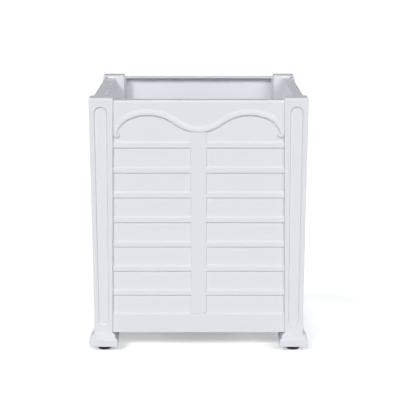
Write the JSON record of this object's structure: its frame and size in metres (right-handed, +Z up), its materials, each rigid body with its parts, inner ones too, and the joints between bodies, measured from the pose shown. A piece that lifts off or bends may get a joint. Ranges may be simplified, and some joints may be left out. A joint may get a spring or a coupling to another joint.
{
  "type": "versailles planter",
  "caption": "Square open-topped planter box with tapered corner posts, framed panels with an ogee bead, plinth feet on levelling glides and a lift-out drained floor.",
  "frame": {"origin": "middle of the footprint, on the ground under the glides", "axes": "+Z up, +X to the right and -Y to the front, seen from the front"},
  "size_m": [0.52, 0.52, 0.609],
  "materials": {
    "white_resin": "semi-gloss",
    "black_nylon": "satin",
    "zinc_steel": "bright zinc",
    "brass": "machined"
  },
  "bodies": {
    "root": {"post_front_left": "white_resin", "post_front_right": "white_resin", "post_rear_left": "white_resin", "post_rear_right": "white_resin", "panel_front": "white_resin", "panel_right": "white_resin", "panel_rear": "white_resin", "panel_left": "white_resin", "foot_front_left": "white_resin", "foot_front_right": "white_resin", "foot_rear_left": "white_resin", "foot_rear_right": "white_resin", "glide_nut_front_left": "brass", "glide_nut_front_right": "brass", "glide_nut_rear_left": "brass", "glide_nut_rear_right": "brass", "cleat_front": "white_resin", "cleat_right": "white_resin", "cleat_rear": "white_resin", "cleat_left": "white_resin", "panel_screws": "zinc_steel", "cleat_screws": "zinc_steel"},
    "floor": {"floor_tray": "white_resin"},
    "glide_front_left": {"glide_pad_front_left": "black_nylon"},
    "stud_front_left": {"glide_stud_front_left": "zinc_steel"},
    "glide_front_right": {"glide_pad_front_right": "black_nylon"},
    "stud_front_right": {"glide_stud_front_right": "zinc_steel"},
    "glide_rear_left": {"glide_pad_rear_left": "black_nylon"},
    "stud_rear_left": {"glide_stud_rear_left": "zinc_steel"},
    "glide_rear_right": {"glide_pad_rear_right": "black_nylon"},
    "stud_rear_right": {"glide_stud_rear_right": "zinc_steel"}
  },
  "joints": [
    {"name": "floor_lift", "type": "slide", "parent": "root", "child": "floor", "axis": [0, 0, 1], "range_m": [0, 0.56]},
    {"name": "glide_level_front_left", "type": "slide", "parent": "root", "child": "glide_front_left", "axis": [0, 0, 1], "range_m": [-0.02, 0.005]},
    {"name": "stud_turn_front_left", "type": "hinge", "parent": "glide_front_left", "child": "stud_front_left", "pos_m": [-0.2267, -0.2267, 0.02], "axis": [0, 0, 1], "range_deg": [-5761, 1441]},
    {"name": "glide_level_front_right", "type": "slide", "parent": "root", "child": "glide_front_right", "axis": [0, 0, 1], "range_m": [-0.02, 0.005]},
    {"name": "stud_turn_front_right", "type": "hinge", "parent": "glide_front_right", "child": "stud_front_right", "pos_m": [0.2267, -0.2267, 0.02], "axis": [0, 0, 1], "range_deg": [-5761, 1441]},
    {"name": "glide_level_rear_left", "type": "slide", "parent": "root", "child": "glide_rear_left", "axis": [0, 0, 1], "range_m": [-0.02, 0.005]},
    {"name": "stud_turn_rear_left", "type": "hinge", "parent": "glide_rear_left", "child": "stud_rear_left", "pos_m": [-0.2267, 0.2267, 0.02], "axis": [0, 0, 1], "range_deg": [-5761, 1441]},
    {"name": "glide_level_rear_right", "type": "slide", "parent": "root", "child": "glide_rear_right", "axis": [0, 0, 1], "range_m": [-0.02, 0.005]},
    {"name": "stud_turn_rear_right", "type": "hinge", "parent": "glide_rear_right", "child": "stud_rear_right", "pos_m": [0.2267, 0.2267, 0.02], "axis": [0, 0, 1], "range_deg": [-5761, 1441]}
  ],
  "couplings": [
    {"joint": "stud_turn_front_left", "follows": "glide_level_front_left", "rad_per_m": 5026.5},
    {"joint": "stud_turn_front_right", "follows": "glide_level_front_right", "rad_per_m": 5026.5},
    {"joint": "stud_turn_rear_left", "follows": "glide_level_rear_left", "rad_per_m": 5026.5},
    {"joint": "stud_turn_rear_right", "follows": "glide_level_rear_right", "rad_per_m": 5026.5}
  ]
}
